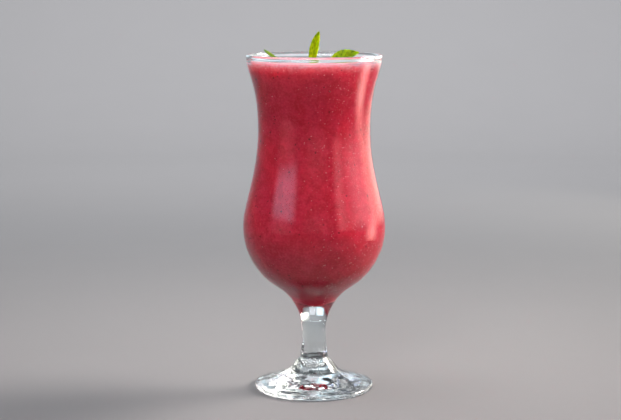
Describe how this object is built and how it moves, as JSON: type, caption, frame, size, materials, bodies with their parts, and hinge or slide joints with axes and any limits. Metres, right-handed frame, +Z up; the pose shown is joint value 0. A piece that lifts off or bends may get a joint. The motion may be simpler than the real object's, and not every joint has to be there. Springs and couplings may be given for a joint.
{
  "type": "strawberry smoothie in a stemmed glass",
  "caption": "Thick strawberry smoothie in a clear hurricane glass with a flared rim, narrow waist, round belly, short stem and broad foot, garnished with small mint leaves.",
  "frame": {"origin": "on the table, in the middle under the foot", "axes": "+Z up along the axis of the glass, -Y towards the camera of the picture, +X to the right in the picture"},
  "size_m": [0.0846, 0.0846, 0.2135],
  "materials": {
    "glass": "clear, fire polished",
    "smoothie": "thick strawberry puree, satin, with seeds and a pale froth at the top",
    "mint": "fresh mint leaf, veined, satin"
  },
  "bodies": {
    "root": {"glass": "glass", "smoothie": "smoothie", "leaf_upright": "mint", "leaf_right": "mint", "leaf_left": "mint"}
  },
  "joints": []
}
